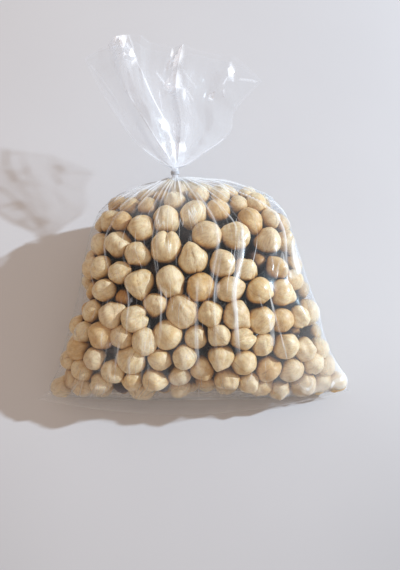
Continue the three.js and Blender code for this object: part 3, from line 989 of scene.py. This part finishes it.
def kernel_material(settings):
    """Cream kernels with tan veins, golden patches and specks of brown skin, darkened by painted shade
    deep in the bag and where kernels lie close.
    """
    material = bpy.data.materials.new("kernel_skinned")
    n = Nodes(material)
    local = n.value("kernel_way").outputs["Vector"]
    start = n.value("kernel_start").outputs["Vector"]
    way = n.add("VectorMath", {0: local, 1: start}, operation="ADD").outputs[0]
    tone = n.value("kernel_tone").outputs["Fac"]
    deep = n.value("kernel_painted_shade").outputs["Fac"]
    broad = n.noise(way, 1.5, 3.0)
    patch = n.math("ADD", broad, n.math("MULTIPLY", tone, 0.18))
    patch = n.ramp(patch, [(0.52, grey(0)), (0.76, grey(1))])
    colour = n.mix(patch, tuple(settings.cream), tuple(settings.golden))
    veins = n.add("Mapping", {"Vector": way, "Scale": (2.2, 2.2, 0.55)}).outputs["Vector"]
    vein = n.noise(veins, 3.2, 6.0, 0.62, 0.6)
    vein = n.ramp(vein, [(0.47, grey(1)), (0.5, grey(0)), (0.56, grey(0))])
    colour = n.mix(n.math("MULTIPLY", vein, 0.26), colour, tuple(settings.tan))
    pale = n.ramp(n.noise(way, 2.6, 2.0), [(0.5, grey(0)), (0.72, grey(1))])
    colour = n.mix(n.math("MULTIPLY", pale, 0.35), colour, (0.88, 0.77, 0.58))
    speck = n.ramp(n.noise(way, 5.2, 5.0, 0.7), [(0.65, grey(0)), (0.72, grey(1))])
    colour = n.mix(n.math("MULTIPLY", speck, 0.6), colour, tuple(settings.skin))
    seam_wave = n.math("MULTIPLY", n.math("SUBTRACT", n.noise(way, 2.0, 2.0), 0.5), 0.3)
    across = n.add("SeparateXYZ", {"Vector": local}).outputs["X"]
    seam = n.span(n.math("ABSOLUTE", n.math("ADD", across, seam_wave)), 0.015, 0.06, 1.0, 0.0)
    shown = n.span(n.noise(start, 3.0, 0.0), 0.42, 0.6)
    broken = n.span(n.noise(way, 2.7, 1.0), 0.4, 0.62)
    seam = n.math("MULTIPLY", n.math("MULTIPLY", seam, shown), broken)
    colour = n.mix(n.math("MULTIPLY", seam, 0.5), colour, tuple(settings.tan))
    colour = n.mix(1.0, colour, n.ramp(tone, OWN_TONES), "MULTIPLY")
    # Painted shade for depth in the bag and for kernels close by.
    colour = n.mix(1.0, colour, n.ramp(deep, PAINTED_SHADES), "MULTIPLY")
    relief = n.math("MULTIPLY", n.noise(veins, 6.0, 5.0), 0.6)
    relief = n.math("SUBTRACT", n.math("ADD", relief, n.math("MULTIPLY", vein, -0.25)), seam)
    fine = n.noise(way, 22.0, 3.0)
    bump = n.add("Bump", {"Height": relief, "Strength": 0.24, "Distance": 0.0006})
    bump = bump.outputs[0]
    bump = n.add("Bump", {"Height": fine, "Strength": 0.12, "Distance": 0.0002, "Normal": bump})
    rough = n.math("ADD", 0.34, n.math("MULTIPLY", broad, 0.22))
    bump = bump.outputs[0]
    skin = n.add("BsdfPrincipled", {"Base Color": colour, "Roughness": rough, "Normal": bump})
    skin.inputs["Specular IOR Level"].default_value = 0.45
    skin.inputs["Subsurface Weight"].default_value = 0.08
    skin.inputs["Subsurface Radius"].default_value = (1.0, 0.55, 0.25)
    skin.inputs["Subsurface Scale"].default_value = 0.0016
    n.output(skin.outputs[0])
    return material


def film_material(settings):
    """Thin clear film: see-through, glossy at a slant, milky where it is folded or sealed, with painted
    glints and milk shaded as if it faced the light.
    """
    material = bpy.data.materials.new("film_clear")
    n = Nodes(material)
    place = n.add("NewGeometry").outputs["Position"]
    haze = n.value("film_haze").outputs["Fac"]
    way = n.value("film_way").outputs["Vector"]
    streaks = n.add("Mapping", {"Vector": way, "Scale": (1.0, 0.0028, 0.0)}).outputs["Vector"]
    drift = n.noise(streaks, 9.0, 1.0, 0.5)
    line = n.span(n.math("ABSOLUTE", n.math("SUBTRACT", drift, 0.5)), 0.005, 0.024, 1.0, 0.0)
    patches = n.add("Mapping", {"Vector": way, "Location": (9.0, 4.0, 0.0), "Scale": (1.0, 0.022, 0.0)})
    line = n.math("MULTIPLY", line, n.span(n.noise(patches.outputs["Vector"], 2.6, 2.0), 0.42, 0.58))
    strands = n.add("Mapping", {"Vector": way, "Scale": (1.0, 0.0012, 0.0)}).outputs["Vector"]
    strands = n.span(n.noise(strands, 42.0, 1.0), 0.44, 0.6, 0.25, 1.0)
    line = n.math("MULTIPLY", n.math("MULTIPLY", line, strands), n.value("film_streak").outputs["Fac"])

    crumple = n.value("film_crumple").outputs["Fac"]
    stretched = n.add("Mapping", {"Vector": place, "Rotation": (0, 0, 0.35), "Scale": FOLD_CELLS})
    stretched = stretched.outputs["Vector"]
    edge = n.add("TexVoronoi", {"Vector": stretched, "Scale": 1.0}, feature="DISTANCE_TO_EDGE")
    fold = n.math("MULTIPLY", n.span(edge.outputs["Distance"], 0.01, 0.04, 1.0, 0.0), crumple)
    fold = n.math("MULTIPLY", fold, n.span(n.noise(place, 60.0, 2.0), 0.5, 0.62))
    # Cells chosen in the painted glints turn white, lean towards the key light and shine more: painted
    # highlights.
    cell = n.add("TexVoronoi", {"Vector": stretched, "Scale": 1.0}).outputs["Color"]
    chosen = n.span(n.add("SeparateXYZ", {"Vector": cell}).outputs["Z"], 0.42, 0.45)
    painted_glint = n.math("MULTIPLY", chosen, n.value("film_painted_glint").outputs["Fac"])
    lean = n.add("VectorMath", {0: cell, 1: (0.5, 0.5, 0.5)}, operation="SUBTRACT").outputs[0]
    lean = n.add("VectorMath", {0: (-0.7, 0.1, 0.0), 1: painted_glint, 2: lean}, operation="MULTIPLY_ADD")
    lean = lean.outputs[0]
    middle = n.add("TexVoronoi", {"Vector": stretched, "Scale": 1.0}).outputs["Position"]
    beside = n.add("VectorMath", {0: stretched, 1: middle}, operation="SUBTRACT").outputs[0]
    facet = n.add("VectorMath", {0: lean, 1: beside}, operation="DOT_PRODUCT").outputs["Value"]
    facet = n.math("MULTIPLY", n.math("MULTIPLY", facet, 11.0), crumple)

    crinkle = n.noise(place, 420.0, 3.0, 0.6, 0.8)
    drawn = n.add("Mapping", {"Vector": way, "Scale": (1.0, 0.006, 0.0)}).outputs["Vector"]
    long_waves = n.math("MULTIPLY", n.noise(drawn, 9.0, 2.0, 0.5), 1.6)
    waves = n.math("ADD", n.noise(place, 90.0, 1.0, 0.4), long_waves)
    height = n.math("ADD", n.math("MULTIPLY", crinkle, 0.12), waves)
    height = n.math("ADD", height, n.math("MULTIPLY", line, 0.8))
    height = n.math("ADD", height, facet)
    bump = n.add("Bump", {"Height": height, "Strength": 0.4, "Distance": 0.0008}).outputs[0]
    clear = n.add("BsdfTransparent", {"Color": (*settings.tint, 1.0)}).outputs[0]
    # The milk is shaded with a normal leaned up and towards the key light, so folds turned away from it
    # stay bright: painted light.
    half, upward = (0.5, 0.5, 0.5), (0.4, 0.1, 1.0)
    spread = n.add("VectorMath", {0: bump, 1: half, 2: upward}, operation="MULTIPLY_ADD").outputs[0]
    spread = n.add("VectorMath", {0: spread}, operation="NORMALIZE").outputs[0]
    milky = n.add("BsdfDiffuse", {"Color": (*MILK_FRONT, 1.0), "Normal": spread}).outputs[0]
    # Painted highlight: milk lit from behind is far brighter in the painted glints.
    behind = n.mix(painted_glint, MILK_BEHIND, PAINTED_GLINT_BEHIND)
    through = n.add("BsdfTranslucent", {"Color": behind, "Normal": bump}).outputs[0]
    milky = n.add("AddShader", {0: milky, 1: through}).outputs[0]
    gloss = n.add("BsdfGlossy", {"Color": (*GLOSS, 1.0), "Normal": bump}, distribution="GGX")
    gloss.inputs["Roughness"].default_value = settings.gloss_roughness
    sheen = n.add("BsdfGlossy", {"Color": (*GLOSS, 1.0), "Normal": bump}, distribution="GGX")
    sheen.inputs["Roughness"].default_value = 0.5
    slant = n.add("LayerWeight", {"Blend": 0.5}).outputs["Facing"]
    lines = n.math("MAXIMUM", n.math("MAXIMUM", line, n.math("MULTIPLY", fold, 0.6)), painted_glint)
    milk = n.math("ADD", haze, n.math("MULTIPLY", lines, settings.streak), clamp=True)
    body = n.add("MixShader", {0: milk, 1: clear, 2: milky}).outputs[0]
    body = n.add("MixShader", {0: settings.sheen, 1: body, 2: sheen.outputs[0]}).outputs[0]
    share = n.math("ADD", 0.02, n.math("MULTIPLY", n.math("POWER", slant, 5.0), 0.4))
    share = n.math("ADD", share, n.math("MULTIPLY", painted_glint, 0.2), clamp=True)
    n.output(n.add("MixShader", {0: share, 1: body, 2: gloss.outputs[0]}).outputs[0])
    return material


def tie_material():
    """Whitish elastic thread with a faint twist."""
    material = bpy.data.materials.new("tie_elastic")
    n = Nodes(material)
    place = n.add("NewGeometry").outputs["Position"]
    mottle = n.noise(place, 900.0, 3.0)
    colour = n.ramp(mottle, [(0.3, (0.42, 0.47, 0.56)), (0.7, (0.7, 0.76, 0.86))])
    bump = n.add("Bump", {"Height": n.noise(place, 1600.0, 2.0), "Strength": 0.4, "Distance": 0.0002})
    body = n.add("BsdfPrincipled", {"Base Color": colour, "Roughness": 0.32, "Normal": bump.outputs[0]})
    n.output(body.outputs[0])
    return material


def table_material(settings):
    """Plain pale table top with painted shade: a little darker to the sides and the front, as light
    falls off.
    """
    material = bpy.data.materials.new("floor_pale")
    n = Nodes(material)
    place = n.add("NewGeometry").outputs["Position"]
    cloud = n.noise(place, 9.0, 3.0)
    base = tuple(settings.floor_colour)
    colour = n.ramp(cloud, [(0.35, tuple(c * 0.98 for c in base)), (0.7, base)])
    where = n.add("SeparateXYZ", {"Vector": place})
    # Painted shade: the table darkens to the right, to the front and at the front corners, as light
    # falls off.
    sideways = n.span(where.outputs["X"], -0.12, 0.16, 1.0, 0.90)
    frontward = n.span(where.outputs["Y"], -0.26, -0.04, 0.87, 1.0)
    beside = n.span(n.math("ABSOLUTE", where.outputs["X"]), 0.04, 0.14)
    corner = n.math("MULTIPLY", beside, n.span(where.outputs["Y"], -0.2, -0.06, 0.1, 0.0))
    painted_falloff = n.math("MULTIPLY", n.math("MULTIPLY", sideways, frontward), n.math("SUBTRACT", 1.0, corner))
    painted_falloff_colour = n.add("CombineColor", {0: painted_falloff, 1: painted_falloff, 2: painted_falloff}).outputs[0]
    colour = n.mix(1.0, colour, painted_falloff_colour, "MULTIPLY")
    body = n.add("BsdfPrincipled", {"Base Color": colour, "Roughness": 0.55})
    body.inputs["Specular IOR Level"].default_value = 0.3
    n.output(body.outputs[0])
    return material


# ---- settings -----------------------------------------------------------------------------------


class KernelSettings(bpy.types.PropertyGroup):
    """Size, number and colours of the kernels."""

    count: IntProperty(name="Count", description="Number of kernels in the bag", default=288, min=1)
    diameter: FloatProperty(
        name="Diameter",
        description="Usual width of a kernel",
        default=0.0138, unit="LENGTH", subtype="DISTANCE",
    )
    spread: FloatProperty(
        name="Spread", description="How much the kernels differ in size", default=0.075
    )
    seed: IntProperty(name="Seed", description="Start of the random draw for the packing", default=7)
    cream: FloatVectorProperty(
        name="Cream",
        description="Main colour of a kernel",
        default=(0.98, 0.85, 0.58), subtype="COLOR", size=3,
    )
    golden: FloatVectorProperty(
        name="Golden",
        description="Colour of the darker patches",
        default=(0.82, 0.61, 0.31), subtype="COLOR", size=3,
    )
    tan: FloatVectorProperty(
        name="Tan",
        description="Colour of the fine veins",
        default=(0.45, 0.27, 0.13), subtype="COLOR", size=3,
    )
    skin: FloatVectorProperty(
        name="Skin",
        description="Colour of the specks of skin",
        default=(0.30, 0.15, 0.07), subtype="COLOR", size=3,
    )


class FilmSettings(bpy.types.PropertyGroup):
    """Fineness, creases and gloss of the film."""

    around: IntProperty(name="Around", description="Points round the body's film", default=560, min=90)
    rings: IntProperty(name="Rings", description="Rings along the body's film", default=150, min=20)
    mouth_across: IntProperty(
        name="Mouth Across", description="Points across the mouth", default=300, min=40
    )
    mouth_rings: IntProperty(
        name="Mouth Rings", description="Rings along the mouth", default=110, min=20
    )
    facets: IntProperty(
        name="Facets", description="Number of bent facets in one sheet of the mouth", default=34
    )
    seed: IntProperty(name="Seed", description="Start of the random draw for the creases", default=3)
    strands: IntProperty(
        name="Strands", description="Number of creases that start at the neck", default=22
    )
    creases: IntProperty(
        name="Creases", description="Number of creases in the body's film in all", default=60
    )
    crease_height: FloatProperty(
        name="Crease Height",
        description="Height of the sharpest crease",
        default=0.0011, unit="LENGTH",
    )
    sag: FloatProperty(
        name="Sag",
        description="How far the film can be drawn in under its smooth form",
        default=0.005, unit="LENGTH",
    )
    press: FloatProperty(
        name="Press",
        description="How strongly the film dips between kernels",
        default=0.00004, unit="LENGTH",
    )
    streak: FloatProperty(name="Streaks", description="Milkiness of the fine creases", default=0.7)
    sheen: FloatProperty(name="Sheen", description="Share of soft, spread shine", default=0.014)
    veil: FloatProperty(
        name="Veil", description="Milkiness of the film on the bag's steep flanks", default=0.78
    )
    tint: FloatVectorProperty(
        name="Tint",
        description="Light that one layer lets through",
        default=(0.992, 0.994, 0.998), subtype="COLOR", size=3,
    )
    gloss_roughness: FloatProperty(
        name="Gloss Roughness", description="Blur of the film's shine", default=0.2
    )


class StageSettings(bpy.types.PropertyGroup):
    """Floor, light and surroundings."""

    floor_colour: FloatVectorProperty(
        name="Floor",
        description="Colour of the table top",
        default=(0.80, 0.83, 0.895), subtype="COLOR", size=3,
    )
    key_power: FloatProperty(
        name="Key Power", description="Power of the main light in watts", default=19.0
    )
    key_colour: FloatVectorProperty(
        name="Key Colour",
        description="Colour of the main light",
        default=(0.78, 0.90, 1.0), subtype="COLOR", size=3,
    )
    key_distance: FloatProperty(
        name="Key Distance", description="Distance of the main light", default=1.4, unit="LENGTH"
    )
    key_size: FloatProperty(
        name="Key Size", description="Width of the main light", default=0.035, unit="LENGTH"
    )
    sky_colour: FloatVectorProperty(
        name="Fill Colour",
        description="Colour of the light from all round",
        default=(1.0, 0.80, 0.66), subtype="COLOR", size=3,
    )
    sky_strength: FloatProperty(
        name="Fill", description="Strength of the light from all round", default=0.5
    )


# ---- operators ----------------------------------------------------------------------------------


def as_piece(obj, replaces):
    """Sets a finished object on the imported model."""
    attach(obj, BODY_NAME)
    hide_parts(replaces)


class NUTBAG_OT_kernels(bpy.types.Operator):
    """Pack the kernels into the bag and build one joined mesh for each kind"""

    bl_idname = "nutbag.kernels"
    bl_label = "Kernels"

    def execute(self, context):
        settings = context.scene.nutbag_kernels
        material = kernel_material(settings)
        for name, data in kernels_from(settings).items():
            obj = make_object(f"kernels_{name}", data["co"], data["faces"])
            point_value(obj, "kernel_way", data["way"])
            point_value(obj, "kernel_start", data["start"])
            point_value(obj, "kernel_tone", data["tone"])
            # Each point's painted shade.
            point_value(obj, "kernel_painted_shade", data["depth"])
            obj.data.materials.append(material)
            as_piece(obj, "bag")
        return {"FINISHED"}


class NUTBAG_OT_film(bpy.types.Operator):
    """Build the film of the filled body, its sealed fin and its neck"""

    bl_idname = "nutbag.film"
    bl_label = "Body Film"

    def execute(self, context):
        settings = context.scene.nutbag_film
        grid, values = body_film(settings, kernels_from(context.scene.nutbag_kernels))
        obj = make_object("film_body", grid.reshape(-1, 3), grid_faces(*grid.shape[:2]))
        film_values(obj, [values])
        obj.data.materials.append(film_material(settings))
        as_piece(obj, "bag")
        return {"FINISHED"}


class NUTBAG_OT_mouth(bpy.types.Operator):
    """Build the two creased layers of the spread mouth beyond the tie"""

    bl_idname = "nutbag.mouth"
    bl_label = "Spread Mouth"

    def execute(self, context):
        settings = context.scene.nutbag_film
        sheets = [mouth_grid(settings, layer) for layer in (1, -1)]
        points = np.concatenate([grid.reshape(-1, 3) for grid, _ in sheets])
        rings, across = sheets[0][0].shape[:2]
        faces = [grid_faces(rings, across, closed=False, start=start) for start in (0, rings * across)]
        obj = make_object("film_mouth", points, np.concatenate(faces))
        film_values(obj, [values for _, values in sheets])
        obj.data.materials.append(bpy.data.materials["film_clear"])
        as_piece(obj, "bag")
        return {"FINISHED"}


class NUTBAG_OT_tie(bpy.types.Operator):
    """Wind the elastic thread round the neck"""

    bl_idname = "nutbag.tie"
    bl_label = "Tie"

    def execute(self, context):
        points, faces = tube(tie_path(), TIE_THREAD, TIE_SIDES)
        obj = make_object("tie_thread", points, faces)
        obj.data.materials.append(tie_material())
        as_piece(obj, "tie")
        return {"FINISHED"}


class NUTBAG_OT_stage(bpy.types.Operator):
    """Set the pale floor, the soft light and the camera"""

    bl_idname = "nutbag.stage"
    bl_label = "Stage"

    def execute(self, context):
        settings = context.scene.nutbag_stage
        corners = [(-1, -1), (1, -1), (1, 1), (-1, 1)]
        corners = [(x * FLOOR_HALF, y * FLOOR_HALF, FLOOR_LEVEL) for x, y in corners]
        mesh = bpy.data.meshes.new("floor")
        mesh.from_pydata(corners, [], [(0, 1, 2, 3)])
        floor = bpy.data.objects.new("floor", mesh)
        context.scene.collection.objects.link(floor)
        floor.data.materials.append(table_material(settings))

        way = Vector(LIGHT_WAY).normalized()
        lamp = bpy.data.lights.new("key", "AREA")
        lamp.shape = "DISK"
        lamp.size = settings.key_size
        lamp.energy = settings.key_power
        lamp.color = settings.key_colour
        key = bpy.data.objects.new("key", lamp)
        key.location = way * settings.key_distance
        key.rotation_euler = way.to_track_quat("Z", "Y").to_euler()
        context.scene.collection.objects.link(key)

        world = bpy.data.worlds.new("surroundings")
        world.use_nodes = True
        sky = world.node_tree.nodes["Background"]
        sky.inputs["Color"].default_value = (*settings.sky_colour, 1.0)
        sky.inputs["Strength"].default_value = settings.sky_strength
        context.scene.world = world

        lens = bpy.data.cameras.new("view")
        lens.sensor_fit = "HORIZONTAL"
        lens.sensor_width = 36.0
        lens.lens = lens.sensor_width * FOCAL_PX / IMAGE_WIDTH_PX
        lens.clip_start = 0.01
        camera = bpy.data.objects.new("view", lens)
        camera.location = placed(CAMERA_PLACE)
        camera.rotation_euler = Vector(CAMERA_BACK).to_track_quat("Z", "Y").to_euler()
        context.scene.collection.objects.link(camera)
        context.scene.camera = camera

        context.scene.view_settings.view_transform = "Standard"
        context.scene.cycles.transparent_max_bounces = 32
        return {"FINISHED"}


class NUTBAG_PT_panel(bpy.types.Panel):
    """Settings and builders of the bag"""

    bl_idname = "NUTBAG_PT_panel"
    bl_label = "Nut Bag"
    bl_space_type = "VIEW_3D"
    bl_region_type = "UI"
    bl_category = "Nut Bag"

    def draw(self, context):
        layout = self.layout
        for group in ("nutbag_kernels", "nutbag_film", "nutbag_stage"):
            box = layout.box()
            settings = getattr(context.scene, group)
            for name in settings.__annotations__:
                box.prop(settings, name)
        for operator in OPERATORS:
            layout.operator(operator.bl_idname)


SETTINGS = {
    "nutbag_kernels": KernelSettings,
    "nutbag_film": FilmSettings,
    "nutbag_stage": StageSettings,
}
OPERATORS = (NUTBAG_OT_kernels, NUTBAG_OT_film, NUTBAG_OT_mouth, NUTBAG_OT_tie, NUTBAG_OT_stage)


def register():
    for cls in (*SETTINGS.values(), *OPERATORS, NUTBAG_PT_panel):
        bpy.utils.register_class(cls)
    for name, cls in SETTINGS.items():
        setattr(bpy.types.Scene, name, PointerProperty(type=cls))


def unregister():
    for name in SETTINGS:
        delattr(bpy.types.Scene, name)
    for cls in reversed((*SETTINGS.values(), *OPERATORS, NUTBAG_PT_panel)):
        bpy.utils.unregister_class(cls)


def main():
    register()
    bpy.ops.nutbag.kernels()
    bpy.ops.nutbag.film()
    bpy.ops.nutbag.mouth()
    bpy.ops.nutbag.tie()
    bpy.ops.nutbag.stage()


if __name__ == "__main__":
    main()
